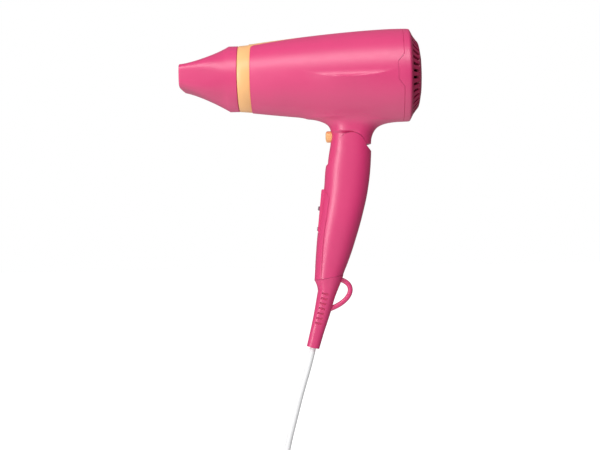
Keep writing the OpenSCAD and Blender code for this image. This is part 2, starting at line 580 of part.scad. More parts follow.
barrel_shell_left();
barrel_shell_right();
trim_ring();
outlet_grille();
nozzle();
rear_cover();
intake_grille();
dust_mesh();
fan_housing();
motor_mount();
fan_impeller();
motor_can();
motor_shaft();
rectifier_board();
mica_cross();
heating_coil();
mica_sleeve();
thermostat();
thermal_fuse();
cool_shot_button();
cool_shot_spring();
cool_shot_switch();
barrel_wires();
handle_shell_left();
handle_shell_right();
hinge_pin();
hinge_spring();
switch_panel();
speed_slider();
heat_slider();
speed_switch();
heat_switch();
suppression_capacitor();
handle_wires();
handle_screws();
cord_clamp();
clamp_screws();
strain_relief();
cord_tube();
cord_coil();
cord_tie();
plug_body();
plug_pins();
plug_relief();
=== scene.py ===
"""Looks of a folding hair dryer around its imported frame: camera, light, materials and finished pieces.

Shapes are worked out in millimetres from the fold hinge, with the nozzle towards -X and the
handle towards -Z, and are placed in the frame by to_frame().
"""
import json
import math

import bmesh
import bpy
import numpy as np
from mathutils import Matrix, Vector


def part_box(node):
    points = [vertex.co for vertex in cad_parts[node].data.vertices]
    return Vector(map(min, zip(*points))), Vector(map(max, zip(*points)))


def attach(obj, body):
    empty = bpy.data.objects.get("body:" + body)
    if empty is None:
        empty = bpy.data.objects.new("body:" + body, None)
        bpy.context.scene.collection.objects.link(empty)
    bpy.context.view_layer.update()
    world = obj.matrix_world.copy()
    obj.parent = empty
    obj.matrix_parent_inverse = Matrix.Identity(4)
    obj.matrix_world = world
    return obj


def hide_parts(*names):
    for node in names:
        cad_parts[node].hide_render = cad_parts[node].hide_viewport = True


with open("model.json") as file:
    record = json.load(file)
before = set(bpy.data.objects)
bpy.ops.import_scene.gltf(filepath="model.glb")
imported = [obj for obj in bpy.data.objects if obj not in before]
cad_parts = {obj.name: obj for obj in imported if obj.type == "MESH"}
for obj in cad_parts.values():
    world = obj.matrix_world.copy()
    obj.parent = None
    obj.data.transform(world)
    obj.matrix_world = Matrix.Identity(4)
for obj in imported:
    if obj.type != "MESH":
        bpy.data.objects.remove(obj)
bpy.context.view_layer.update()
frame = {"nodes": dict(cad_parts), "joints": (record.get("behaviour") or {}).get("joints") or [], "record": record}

joints = {joint["name"]: joint for joint in frame["joints"]}
HINGE = np.array(joints["fold"]["pos_m"])
MM = 0.001
AXIS_Z = (joints["fan_spin"]["pos_m"][2] - HINGE[2]) / MM


def in_mm(node):
    """Lowest and highest corner of a CAD node, in millimetres from the hinge."""
    low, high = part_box(node)
    return (np.array(low) - HINGE) / MM, (np.array(high) - HINGE) / MM


def to_frame(points):
    return HINGE + np.asarray(points, float) * MM


# ---- driving sizes, in millimetres from the hinge ----

WALL = 2.0
REAR_R = 42.8
FRONT_R = 32.0
FULL_X = 40.0
FRONT_X = -91.2
SEAM_X = 48.2
RING_X = in_mm("nozzle")[1][0]
TIP_X = in_mm("nozzle")[0][0]
COLLAR_X = RING_X - 8.7
COLLAR_R = 30.4
SPIGOT_R = 28.2
EAR_R = 13.4
GAP = 0.3
SWEEP_R = 28.8
HALF_Y = 17.0
BUTTON_Z = 10.5
FLOOR_Z = in_mm("cord_coil")[0][2]
SECTION = 2.4
SECTION_SIDES = 160
FLARE_Z = 32.2
TONGUE_END = -38
TONGUE_R = 4.4
TONGUE_FILLET = 4
KNUCKLE_R = 12.8
PANEL = (6.3, (-28.9, -58))


# ---- formulas ----

def ease(t):
    u = np.clip(t, 0, 1)
    return u * u * (3 - 2 * u)


def fillet(t):
    """Sideways reach of a quarter ellipse fillet, from 0 at t = 0 to 1 at t = 1."""
    u = np.clip(t, 0, 1)
    return 1 - np.sqrt(1 - u * u)


def power(v, n):
    return np.sign(v) * np.abs(v) ** (2 / n)


def through(t, knots):
    """A smooth curve through knots of (t, value) that doesn't overshoot them."""
    knots = np.array(sorted(knots), float)
    x, y = knots[:, 0], knots[:, 1]
    h = np.diff(x)
    d = np.diff(y) / h
    m = np.concatenate([[d[0]], (d[:-1] + d[1:]) / 2, [d[-1]]])
    flat = np.concatenate([[False], d[:-1] * d[1:] <= 0, [False]])
    m[flat] = 0
    i = np.clip(np.searchsorted(x, t) - 1, 0, len(h) - 1)
    u = np.clip((t - x[i]) / h[i], 0, 1)
    return (y[i] * (1 + 2 * u) * (1 - u) ** 2 + m[i] * h[i] * u * (1 - u) ** 2
            + y[i + 1] * u * u * (3 - 2 * u) + m[i + 1] * h[i] * u * u * (u - 1))


def barrel_r(x):
    taper = np.clip((FULL_X - x) / (FULL_X - FRONT_X), 0, 1.2)
    return REAR_R - (REAR_R - FRONT_R) * taper ** 1.5


def neck_front(z):
    return -18.8 - 15 * fillet((z - 13) / 14.5) - 3.6 * ease((12 - z) / 29)


def neck_rear(z):
    return 18.1 + 19 * fillet((z - 4) / 20)


def neck_half(z):
    """Above FLARE_Z the sides rise straight to meet the barrel along its own slope."""
    return HALF_Y + 10.5 * fillet((np.minimum(z, FLARE_Z) - 14) / 22) + 0.6 * np.maximum(0, z - FLARE_Z)


HANDLE_FRONT = [(-124, -37), (-98, -35), (-80, -33.2), (-60, -29.8), (-36, -26.2), (-22, -25),
                (-16, -24.1), (-8, -22.8), (0, -21.5), (20, -20)]
HANDLE_REAR = [(-124, -12.6), (-114, -8.6), (-98, -2.3), (-81, 3.4), (-70, 6.8), (-56, 10.6),
               (-47, 12.8), (-36, 14.9), (-22, 16.8), (-3, 18.1), (20, 18.2)]


def handle_front(z):
    return through(z, HANDLE_FRONT)


def handle_rear(z):
    return through(z, HANDLE_REAR)


def handle_half(z):
    return HALF_Y - 4.2 * ease((-60 - z) / 62)


# ---- mesh tools ----

MERGE = 1e-7
FAR = 200


def new_piece(name, points, faces, drop_slivers=False):
    """A mesh object from points in millimetres, with doubled points merged and its faces turned outwards."""
    mesh = bpy.data.meshes.new(name)
    mesh.from_pydata(to_frame(points).tolist(), [], [list(map(int, f)) for f in faces])
    piece = bpy.data.objects.new(name, mesh)
    bpy.context.scene.collection.objects.link(piece)
    tidy = bmesh.new()
    tidy.from_mesh(mesh)
    bmesh.ops.remove_doubles(tidy, verts=tidy.verts, dist=MERGE)
    if drop_slivers:
        bmesh.ops.dissolve_degenerate(tidy, edges=tidy.edges, dist=MERGE)
    bmesh.ops.recalc_face_normals(tidy, faces=tidy.faces)
    tidy.to_mesh(mesh)
    tidy.free()
    return piece


def loft(name, rings):
    """A closed solid through rings that all have the same number of points."""
    rings = np.asarray(rings, float)
    count, sides = rings.shape[:2]
    i = np.arange(sides)
    j = (i + 1) % sides
    faces = [list(i), list((count - 1) * sides + i[::-1])]
    for k in range(count - 1):
        here, past = k * sides, (k + 1) * sides
        faces += np.stack([here + i, past + i, past + j, here + j], 1).tolist()
    return new_piece(name, rings.reshape(-1, 3), faces)


def revolve(name, outline, sides=192, centre=(0, 0), axis="x"):
    """Turns a closed outline of (along, radius) about the barrel's axis, or about another one."""
    outline = np.asarray(outline, float)
    n = len(outline)
    turn = np.arange(sides) * math.tau / sides
    along = np.repeat(outline[None, :, 0], sides, 0)
    u = outline[None, :, 1] * np.cos(turn)[:, None]
    v = outline[None, :, 1] * np.sin(turn)[:, None]
    if axis == "x":
        points = np.stack([along, centre[0] + u, (AXIS_Z if centre == (0, 0) else centre[1]) + v], 2)
    elif axis == "y":
        points = np.stack([centre[0] + u, along, centre[1] + v], 2)
    else:
        points = np.stack([centre[0] + u, centre[1] + v, along], 2)
    faces = []
    for k in range(sides):
        for i in range(n):
            j, m = (i + 1) % n, (k + 1) % sides
            if outline[i, 1] > 0 or outline[j, 1] > 0:
                faces.append([k * n + i, k * n + j, m * n + j, m * n + i])
    return new_piece(name, points.reshape(-1, 3), faces, drop_slivers=True)


def bar_y(r, x, z, y0, y1, sides=128):
    """A plain cylinder along Y, used to cut."""
    return revolve("cutter", [(y0, 0), (y0, r), (y1, r), (y1, 0)], sides, (x, z), "y")


def plate(outline, y0, y1):
    """An x-z outline drawn out from y0 to y1."""
    return loft("cutter", [[(x, y, z) for x, z in outline] for y in (y0, y1)])


def slab(low, high, spin=0.0, origin=(0, 0, 0)):
    """A box, turned about X by spin and then moved to origin, used to cut."""
    around = ((low[1], low[2]), (high[1], low[2]), (high[1], high[2]), (low[1], high[2]))
    corners = [[(x, y, z) for y, z in around] for x in (low[0], high[0])]
    c, s = math.cos(spin), math.sin(spin)
    placed = [[(x + origin[0], y * c - z * s + origin[1], y * s + z * c + origin[2]) for x, y, z in ring]
              for ring in corners]
    return loft("cutter", placed)


def apply_all(piece):
    bpy.context.view_layer.update()
    graph = bpy.context.evaluated_depsgraph_get()
    mesh = bpy.data.meshes.new_from_object(piece.evaluated_get(graph))
    piece.modifiers.clear()
    piece.data = mesh


def combine(piece, others, operation):
    for other in others:
        modifier = piece.modifiers.new("combine", "BOOLEAN")
        modifier.operation = operation
        modifier.solver = "MANIFOLD"
        modifier.object = other
        apply_all(piece)
        bpy.data.objects.remove(other)
    return piece


def cut(piece, *others):
    return combine(piece, others, "DIFFERENCE")


def join(piece, *others):
    return combine(piece, others, "UNION")


def keep(piece, *others):
    return combine(piece, others, "INTERSECT")


def gather(pieces):
    """Puts meshes that don't touch into one object."""
    both = bmesh.new()
    for piece in pieces:
        both.from_mesh(piece.data)
    both.to_mesh(pieces[0].data)
    both.free()
    for piece in pieces[1:]:
        bpy.data.objects.remove(piece)
    return pieces[0]


def mirrored(piece, name):
    """The same piece on the other side of the y = 0 plane."""
    twin = piece.copy()
    twin.data = piece.data.copy()
    twin.name = name
    bpy.context.scene.collection.objects.link(twin)
    twin.data.transform(Matrix.Scale(-1, 4, (0, 1, 0)))
    twin.data.flip_normals()
    return twin


def finish_piece(piece, name, node, body, material, angle=32):
    """Names and shades a piece, rides it on its body, and hides the CAD node that it stands for."""
    piece.name = name
    piece.data.name = name
    piece.data.materials.clear()
    piece.data.materials.append(material)
    piece.data.polygons.foreach_set("material_index", [0] * len(piece.data.polygons))
    piece.data.shade_smooth()
    piece.data.set_sharp_from_angle(angle=math.radians(angle))
    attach(piece, body)
    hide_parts(node)
    return piece


def surface_of(name, field, low, high, step):
    """Closed mesh of the region where field is negative, with its points moved onto the surface."""
    axes = [np.arange(a, b + step, step) for a, b in zip(low, high)]
    values = field(*np.meshgrid(*axes, indexing="ij"))
    values = np.pad(values, 1, constant_values=step)
    origin = np.array([a[0] for a in axes]) - step
    inside = values < 0
    cells = np.array(values.shape) - 1
    total = np.zeros((*cells, 3))
    count = np.zeros(cells)
    crossings = []
    for axis in range(3):
        near = [slice(None)] * 3
        past = [slice(None)] * 3
        near[axis], past[axis] = slice(None, -1), slice(1, None)
        a, b = values[tuple(near)], values[tuple(past)]
        flips = np.argwhere(inside[tuple(near)] != inside[tuple(past)])
        va, vb = a[tuple(flips.T)], b[tuple(flips.T)]
        place = flips.astype(float)
        place[:, axis] += va / (va - vb)
        others = [k for k in range(3) if k != axis]
        around = []
        for da, db in ((0, 0), (1, 0), (1, 1), (0, 1)):
            cell = flips.copy()
            cell[:, others[0]] -= da
            cell[:, others[1]] -= db
            around.append(cell)
            np.add.at(total, tuple(cell.T), place)
            np.add.at(count, tuple(cell.T), 1)
        outward = (va < 0) == (axis != 1)
        crossings.append((around, outward))
    used = np.argwhere(count > 0)
    number = np.full(cells, -1)
    number[tuple(used.T)] = np.arange(len(used))
    points = origin + total[tuple(used.T)] / count[tuple(used.T)][:, None] * step
    edge = 1.2 * step
    free = np.all((points > np.array(low) + edge) & (points < np.array([a[-1] for a in axes]) - edge), 1)
    small = 0.02
    for _ in range(4):
        p = points[free]
        value = field(*p.T)
        slope = np.stack([(field(*(p + small * row).T) - field(*(p - small * row).T)) / (2 * small)
                          for row in np.eye(3)], 1)
        move = value[:, None] * slope / np.maximum((slope ** 2).sum(1), 0.05)[:, None]
        points[free] = p - np.clip(move, -step, step)
    faces = []
    for around, outward in crossings:
        quads = np.stack([number[tuple(cell.T)] for cell in around], 1)
        quads[~outward] = quads[~outward][:, ::-1]
        faces += quads.tolist()
    return new_piece(name, points, faces)


# ---- materials ----

def new_material(name):
    material = bpy.data.materials.new(name)
    material.use_nodes = True
    nodes = material.node_tree.nodes
    return material, nodes, material.node_tree.links, nodes["Principled BSDF"]


def noise(nodes, links, scale, detail, source, roughness=0.5):
    node = nodes.new("ShaderNodeTexNoise")
    node.inputs["Scale"].default_value = scale
    node.inputs["Detail"].default_value = detail
    node.inputs["Roughness"].default_value = roughness
    links.new(source, node.inputs["Vector"])
    return node.outputs["Fac"]


def spread(nodes, links, source, low, high):
    """Takes the middle of a noise's range to low .. high."""
    node = nodes.new("ShaderNodeMapRange")
    node.inputs["From Min"].default_value = 0.3
    node.inputs["From Max"].default_value = 0.7
    node.inputs["To Min"].default_value = low
    node.inputs["To Max"].default_value = high
    links.new(source, node.inputs["Value"])
    return node.outputs["Result"]


ROUNDED_EDGE = 0.00025


def moulded(name, colour, rough, tint=0.05, grain=0.06, grain_scale=2600, metal=0.0, specular=0.5):
    """Moulded plastic, or a metal: slow colour drift, uneven polish and a fine spark-eroded grain."""
    material, nodes, links, shader = new_material(name)
    where = nodes.new("ShaderNodeTexCoord").outputs["Object"]
    drift = noise(nodes, links, 22, 3, where)
    mix = nodes.new("ShaderNodeMix")
    mix.data_type = "RGBA"
    mix.inputs["A"].default_value = (*[c * (1 - tint) for c in colour], 1)
    mix.inputs["B"].default_value = (*[min(1, c * (1 + tint)) for c in colour], 1)
    links.new(spread(nodes, links, drift, 0, 1), mix.inputs["Factor"])
    links.new(mix.outputs["Result"], shader.inputs["Base Color"])
    polish = noise(nodes, links, 180, 4, where, 0.6)
    links.new(spread(nodes, links, polish, rough - 0.035, rough + 0.035), shader.inputs["Roughness"])
    bevel = nodes.new("ShaderNodeBevel")
    bevel.samples = 4
    bevel.inputs["Radius"].default_value = ROUNDED_EDGE
    bump = nodes.new("ShaderNodeBump")
    bump.inputs["Strength"].default_value = grain
    bump.inputs["Distance"].default_value = 0.0002
    links.new(noise(nodes, links, grain_scale, 2, where), bump.inputs["Height"])
    links.new(bevel.outputs["Normal"], bump.inputs["Normal"])
    links.new(bump.outputs["Normal"], shader.inputs["Normal"])
    shader.inputs["Metallic"].default_value = metal
    shader.inputs["Specular IOR Level"].default_value = specular
    return material


def woven_mesh(name, colour):
    """Fine square-woven filter wire: two crossed waves in height, with painted shade, near black, in the low gaps
    between the wires.
    """
    material, nodes, links, shader = new_material(name)
    where = nodes.new("ShaderNodeTexCoord").outputs["Object"]
    heights = []
    for direction in ("Y", "Z"):
        wave = nodes.new("ShaderNodeTexWave")
        wave.bands_direction = direction
        wave.inputs["Scale"].default_value = 260
        links.new(where, wave.inputs["Vector"])
        heights.append(wave.outputs["Fac"])
    both = nodes.new("ShaderNodeMath")
    both.operation = "MAXIMUM"
    links.new(heights[0], both.inputs[0])
    links.new(heights[1], both.inputs[1])
    # Painted shade: where both waves are low, between the wires, the colour goes near black.
    ramp = nodes.new("ShaderNodeValToRGB")
    ramp.color_ramp.elements[0].position = 0.55
    ramp.color_ramp.elements[0].color = (0.01, 0.01, 0.012, 1)
    ramp.color_ramp.elements[1].position = 0.85
    ramp.color_ramp.elements[1].color = (*colour, 1)
    links.new(both.outputs["Value"], ramp.inputs["Fac"])
    links.new(ramp.outputs["Color"], shader.inputs["Base Color"])
    links.new(spread(nodes, links, both.outputs["Value"], 0.7, 0.35), shader.inputs["Roughness"])
    bump = nodes.new("ShaderNodeBump")
    bump.inputs["Strength"].default_value = 0.6
    bump.inputs["Distance"].default_value = 0.0003
    links.new(both.outputs["Value"], bump.inputs["Height"])
    links.new(bump.outputs["Normal"], shader.inputs["Normal"])
    shader.inputs["Metallic"].default_value = 0.7
    return material


PINK = (0.7, 0.026, 0.165)
MATERIALS = {
    "pink_shell": moulded("pink_plastic", PINK, 0.38, tint=0.03, specular=1.0),
    # The grille's colour is the pink plastic darkened to about 0.6: painted shade for a dome that faces away from
    # the light.
    "grille": moulded("grille_pink_painted_shade", (0.42, 0.014, 0.085), 0.42, tint=0.06),
    "yellow_trim": moulded("yellow_plastic", (0.93, 0.5, 0.2), 0.34, tint=0.03),
    "grey_knob": moulded("knob_plastic", (0.22, 0.13, 0.17), 0.45, tint=0.06, grain=0.12),
    "filter_mesh": woven_mesh("filter_wire", (0.22, 0.2, 0.22)),
    "ivory_plastic": moulded("ivory_plastic", (0.78, 0.74, 0.62), 0.55, grain=0.1),
    "fan_plastic": moulded("fan_plastic", (0.05, 0.05, 0.055), 0.5, grain=0.1),
    "steel": moulded("zinc_steel", (0.55, 0.56, 0.58), 0.38, grain=0.1, metal=1.0),
    "polished_steel": moulded("nickel_plate", (0.72, 0.71, 0.68), 0.2, grain=0.03, metal=1.0),
    "circuit_board": moulded("solder_mask", (0.02, 0.14, 0.05), 0.45, tint=0.15),
    "mica": moulded("mica_sheet", (0.5, 0.42, 0.27), 0.6, tint=0.2, grain=0.3, grain_scale=500),
    "heating_wire": moulded("nichrome_wire", (0.35, 0.32, 0.28), 0.45, tint=0.15, metal=1.0),
    "black_plastic": moulded("black_plastic", (0.018, 0.018, 0.02), 0.5, grain=0.12),
    "wire_sleeve": moulded("wire_sleeve", (0.6, 0.6, 0.63), 0.5, grain=0.04),
    "cord_sleeve": moulded("cord_sleeve", (0.95, 0.95, 0.96), 0.48, tint=0.02, grain=0.05),
    "film_yellow": moulded("capacitor_film", (0.75, 0.5, 0.08), 0.3, tint=0.05),
}
slot_of = {part["node"]: part["material_slot"] for part in frame["record"]["subparts"]}
for node_name, node_object in frame["nodes"].items():
    node_object.data.materials.clear()
    node_object.data.materials.append(MATERIALS[slot_of[node_name]])
body_of = {node: body for body, nodes in frame["record"]["behaviour"]["bodies"].items() for node in nodes}


def stand_for(piece, node, angle=32):
    """Finishes a piece that stands for the CAD node of that name."""
    slot_name = slot_of[node]
    return finish_piece(piece, "look_" + node, node, body_of[node], MATERIALS[slot_name], angle)


# ---- camera, light and floor ----

WORLD_LEVEL = 0.49


def add_camera():
    azimuth, roll = math.radians(2.0), math.radians(1.1)
    aim = Vector(to_frame((-49.3, 0, -70.7)))
    forward = Vector((-math.sin(azimuth), math.cos(azimuth), 0))
    right = forward.cross(Vector((0, 0, 1)))
    up = Vector((0, 0, 1)) * math.cos(roll) + right * math.sin(roll)
    right = forward.cross(up)
    turn = Matrix((right, up, -forward)).transposed().to_4x4()
    camera = bpy.data.objects.new("camera", bpy.data.cameras.new("camera"))
    camera.matrix_world = Matrix.Translation(aim - forward * 1.1) @ turn
    camera.data.lens = 71
    camera.data.sensor_width = 36
    camera.data.clip_start = 0.01
    bpy.context.scene.collection.objects.link(camera)
    bpy.context.scene.camera = camera


def add_softbox(name, place, target, width, height, watts):
    light = bpy.data.lights.new(name, "AREA")
    light.shape = "RECTANGLE"
    light.size, light.size_y = width, height
    light.energy = watts
    lamp = bpy.data.objects.new(name, light)
    lamp.location = place
    lamp.rotation_euler = (Vector(target) - Vector(place)).to_track_quat("-Z", "Y").to_euler()
    bpy.context.scene.collection.objects.link(lamp)


def add_world():
    """Soft white light all round, weaker towards +X and behind, against a white backdrop."""
    world = bpy.data.worlds.new("studio")
    world.use_nodes = True
    bpy.context.scene.world = world
    nodes, links = world.node_tree.nodes, world.node_tree.links
    where = nodes.new("ShaderNodeTexCoord").outputs["Generated"]
    split = nodes.new("ShaderNodeSeparateXYZ")
    links.new(where, split.inputs["Vector"])

    def ramp(axis, low, high, from_value, to_value):
        level = nodes.new("ShaderNodeMapRange")
        level.interpolation_type = "SMOOTHSTEP"
        level.inputs["From Min"].default_value = low
        level.inputs["From Max"].default_value = high
        level.inputs["To Min"].default_value = from_value
        level.inputs["To Max"].default_value = to_value
        links.new(split.outputs[axis], level.inputs["Value"])
        return level.outputs["Result"]

    def product(a, b):
        node = nodes.new("ShaderNodeMath")
        node.operation = "MULTIPLY"
        links.new(a, node.inputs[0])
        links.new(b, node.inputs[1])
        return node.outputs["Value"]

    side = ramp("X", 0.0, 0.85, WORLD_LEVEL, 0.3 * WORLD_LEVEL)
    behind = ramp("Y", 0.1, 0.8, 1.0, 0.6)
    level = product(product(side, behind), ramp("Z", -0.9, 0.0, 2.3, 1.0))
    # The backdrop is plain white where it is seen directly, and the level above where it lights the object
    mix = nodes.new("ShaderNodeMix")
    mix.inputs["B"].default_value = 1.0
    links.new(nodes.new("ShaderNodeLightPath").outputs["Is Camera Ray"], mix.inputs["Factor"])
    links.new(level, mix.inputs["A"])
    links.new(mix.outputs["Result"], nodes["Background"].inputs["Strength"])
    nodes["Background"].inputs["Color"].default_value = (1, 1, 1, 1)


def add_floor():
    size = 6.0
    z = to_frame((0, 0, FLOOR_Z))[2]
    mesh = bpy.data.meshes.new("floor")
    corners = [(-size, -size, z), (size, -size, z), (size, size, z), (-size, size, z)]
    mesh.from_pydata(corners, [], [(0, 1, 2, 3)])
    floor = bpy.data.objects.new("floor", mesh)
    bpy.context.scene.collection.objects.link(floor)
    paint = moulded("floor_paint", (0.93, 0.93, 0.93), 0.7, tint=0.005, grain=0.02, grain_scale=300)
    paint.node_tree.nodes["Principled BSDF"].inputs["Emission Color"].default_value = (1, 1, 1, 1)
    paint.node_tree.nodes["Principled BSDF"].inputs["Emission Strength"].default_value = 0.8
    mesh.materials.append(paint)
    floor.visible_diffuse = floor.visible_glossy = False


add_camera()
add_world()
add_floor()
centre = to_frame((-30, 0, -20))
add_softbox("overhead", centre + np.array((0.0, -1.02, 1.10)), centre, 2.0, 0.6, 14)
add_softbox("side", centre + np.array((-0.96, -1.15, 0.0)), centre, 0.3, 1.8, 14)
bpy.context.scene.view_settings.view_transform = "Standard"


# ---- cord, coil and plug ----

ROUTE = [(-39, 0, -183), (-42, 0, -195), (-46, 0, -209), (-50, 0, -222), (-54, 0, -236), (-58, 0, -251),
         (-62, 0, -266), (-65, 0, -279), (-67, 1, -291), (-68, 5, -303), (-68, 12, -314), (-69, 22, -322),
         (-74, 33, -326), (-83, 41, -327), (-95, 45, -327)]
TAIL = [(-101, -42, -321), (-90, -42, -321), (-78, -39, -321), (-67, -36, -321), (-58, -35, -321)]
CORD_D = 6.0
INNER_TURN = 25.0
LOWER_Z = FLOOR_Z + CORD_D / 2
UPPER_Z = LOWER_Z + CORD_D
COIL_MID = (in_mm("cord_coil")[0] + in_mm("cord_coil")[1]) / 2


def coil_points():
    """Four turns inwards on the floor, a rise, and four turns outwards on top, each a diameter apart."""
    outer = INNER_TURN + 3 * CORD_D
    legs = [(102, outer + 1.4, LOWER_Z), (120, outer, LOWER_Z)]
    for k in range(3):
        legs += [(400 + 360 * k, outer - k * CORD_D, LOWER_Z),
                 (460 + 360 * k, outer - (k + 1) * CORD_D, LOWER_Z)]
    legs += [(1420, INNER_TURN, LOWER_Z), (1480, INNER_TURN, UPPER_Z)]
    for k in range(3):
        legs += [(1720 + 360 * k, INNER_TURN + k * CORD_D, UPPER_Z),
                 (1780 + 360 * k, INNER_TURN + (k + 1) * CORD_D, UPPER_Z)]
    legs += [(2790, outer, UPPER_Z)]
    points = []
    for (a0, r0, z0), (a1, r1, z1) in zip(legs, legs[1:]):
        steps = max(1, round((a1 - a0) / 15))
        for k in range(steps):
            t = k / steps
            angle = math.radians(a0 + (a1 - a0) * t)
            r, z = r0 + (r1 - r0) * ease(t), z0 + (z1 - z0) * ease(t)
            points.append((COIL_MID[0] + r * math.cos(angle), COIL_MID[1] + r * math.sin(angle), z))
    return points + [(COIL_MID[0], COIL_MID[1] - outer, UPPER_Z)]


def add_cord():
    points = to_frame(ROUTE + coil_points() + TAIL)
    curve = bpy.data.curves.new("mains_cord", "CURVE")
    curve.dimensions = "3D"
    curve.bevel_depth = CORD_D / 2 * MM
    curve.bevel_resolution = 6
    curve.use_fill_caps = True
    spline = curve.splines.new("BEZIER")
    spline.resolution_u = 8
    spline.bezier_points.add(len(points) - 1)
    for point, place in zip(spline.bezier_points, points):
        point.co = place
        point.handle_left_type = point.handle_right_type = "AUTO"
    curve.materials.append(MATERIALS["cord_sleeve"])
    cord = bpy.data.objects.new("mains_cord", curve)
    bpy.context.scene.collection.objects.link(cord)
    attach(cord, "handle")
    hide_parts("cord_tube", "cord_coil")
    return cord


add_cord()


# ---- barrel and neck ----

def neck_field(x, y, z):
    front, rear = neck_front(z), neck_rear(z)
    u = (x - (front + rear) / 2) / ((rear - front) / 2)
    around = np.sign(u) * np.minimum(np.abs(u), 1) ** (SECTION / 2)
    half = neck_half(z) - 2.6 * ease((15.6 - z) / 3) * ease(0.6 - 2 * around)
    shape = (np.abs(u) ** SECTION + np.abs(y / half) ** SECTION) ** (1 / SECTION) - 1
    return np.maximum(shape * HALF_Y, z - 60)


def casing_field(x, y, z):
    """Negative inside the barrel and its neck, which flow into each other."""
    round_part = np.hypot(y, z - AXIS_Z) - barrel_r(x)
    neck = neck_field(x, y, z)
    soft = 8.0
    h = np.clip(0.5 + 0.5 * (neck - round_part) / soft, 0, 1)
    return neck * (1 - h) + round_part * h - soft * h * (1 - h)


NECK_HOLLOW = [(-16.5, 34), (16, 34), (14.5, 8), (9, -30), (-10, -30), (-21, -24), (-17.2, -2), (-16.5, 8)]
NECK_BELOW = [(-9, -9), (-21, -21), (-26, -26), (-26, -40), (60, -40), (60, 4.2), (17.8, 3.4), (12.8, 2.6),
              (12, -4), (6, -10.5)]


def tongue_half(x, grow):
    """Half width of the tongue at x: narrow at its tip, and filleted where it leaves the ring."""
    root = TONGUE_FILLET
    near = np.minimum(root, np.maximum(0, root - (x - FRONT_X)))
    flare = np.maximum(0, (TONGUE_END - x) / (TONGUE_END - FRONT_X)) ** 0.5
    return grow + TONGUE_R + 9.6 * flare + root - np.sqrt(root ** 2 - near ** 2)


def tongue_band(grow, depth):
    """The trim ring's tongue, let into the top of the barrel."""
    root = FRONT_X + np.linspace(0, TONGUE_FILLET, 14)
    xs = np.concatenate([[FRONT_X - 3], root, np.linspace(FRONT_X + 5, TONGUE_END, 60)])
    side = [(x, -tongue_half(x, grow)) for x in xs]
    tip_r = TONGUE_R + grow
    tip = [(TONGUE_END + tip_r * math.cos(a), tip_r * math.sin(a))
           for a in np.radians(np.arange(-80, 90, 10))]
    other = [(x, tongue_half(x, grow)) for x in xs[::-1]]
    outline = side + tip + other
    blade = loft("cutter", [[(x, y, z) for x, y in outline] for z in (AXIS_Z, AXIS_Z + 60)])
    xs = np.linspace(FRONT_X, -30, 50)
    top = [(FRONT_X - 2, FRONT_R + grow)] + [(x, barrel_r(x) + grow) for x in xs]
    under = [(x, barrel_r(x) - depth) for x in xs[::-1]] + [(FRONT_X - 2, FRONT_R - depth)]
    return keep(blade, revolve("cutter", under[::-1] + top[::-1]))


def tab_plate(grow):
    """Outline of the rear cover's side tabs, drawn out across the barrel."""
    back = SEAM_X + 0.9
    outline = [(back, AXIS_Z - 14.6 - grow), (SEAM_X - grow, AXIS_Z - 14.3 - grow),
               (SEAM_X - 5.1 - grow, AXIS_Z - 8 - grow), (SEAM_X - 5.1 - grow, AXIS_Z + 8 + grow),
               (SEAM_X - grow, AXIS_Z + 14.3 + grow), (back, AXIS_Z + 14.6 + grow)]
    return plate(outline, -60, 60)


def make_barrel():
    shell = surface_of("barrel", casing_field, (-97, -46, -30), (53, 4, 112), 1.0)
    xs = np.linspace(FRONT_X - 3, SEAM_X + 3, 60)
    hollow = [(x, barrel_r(x) - WALL) for x in xs]
    inner = revolve("cutter", [(xs[0], 0)] + hollow + [(xs[-1], 0)])
    low_half = keep(plate([(-60, -60), (60, -60), (60, 0), (-60, 0)], -70, 70),
                    revolve("cutter", [(-80, SWEEP_R), (-80, 90), (80, 90), (80, SWEEP_R)], 256,
                            (0, 0.001), "y"))
    cut(shell, slab((-FAR, -0.05, -FAR), (FAR, 60, FAR)), slab((-FAR, -60, -FAR), (FRONT_X, 60, FAR)),
        slab((SEAM_X, -60, -FAR), (FAR, 60, FAR)))
    lining = surface_of("cutter", lambda x, y, z: neck_field(x, y, z) + 1.9, (-36, -30, -31), (38, 30, 36),
                        1.2)
    cut(shell, inner, keep(plate(NECK_HOLLOW, -10.6, 10.6), lining))
    below = cut(plate(NECK_BELOW, -60, 60), bar_y(KNUCKLE_R, 0, 0, -10.4, 10.4),
                bar_y(10.6, 0, 0, -12.7, 12.7))
    cut(shell, below, low_half, bar_y(EAR_R + GAP, 0, 0, -60, -KNUCKLE_R))
    cut(shell, tongue_band(0.12, 1.2), tab_plate(0.15))
    cut(shell, revolve("cutter", [(-40, 0), (-40, 5.6), (-12, 5.6), (-12, 0)], 96, (0, BUTTON_Z), "x"))
    twin = mirrored(shell, "barrel_right")
    stand_for(shell, "barrel_shell_left")
    stand_for(twin, "barrel_shell_right")


make_barrel()


def make_trim_ring():
    front = RING_X + GAP
    ring = revolve("ring", [
        (front - 7, SPIGOT_R - 1.6), (front - 7, SPIGOT_R), (front, SPIGOT_R), (front, COLLAR_R - 0.4),
        (front + 0.12, COLLAR_R - 0.1), (front + 0.4, COLLAR_R + 0.05), (FRONT_X - 0.5, FRONT_R - 0.6),
        (FRONT_X - 0.15, FRONT_R - 0.75), (FRONT_X - 0.1, FRONT_R - 1.1),
        (FRONT_X - 0.1, FRONT_R - WALL - 0.1),
        (FRONT_X + 5, FRONT_R - WALL - 0.1), (FRONT_X + 5, SPIGOT_R - 0.2), (FRONT_X, SPIGOT_R - 1.6)], 256)
    join(ring, tongue_band(0.0, 1.1))
    stand_for(ring, "trim_ring")


make_trim_ring()


SLOT_HALF_H, SLOT_HALF_W, SLOT_POWER = 11.5, 30, 5


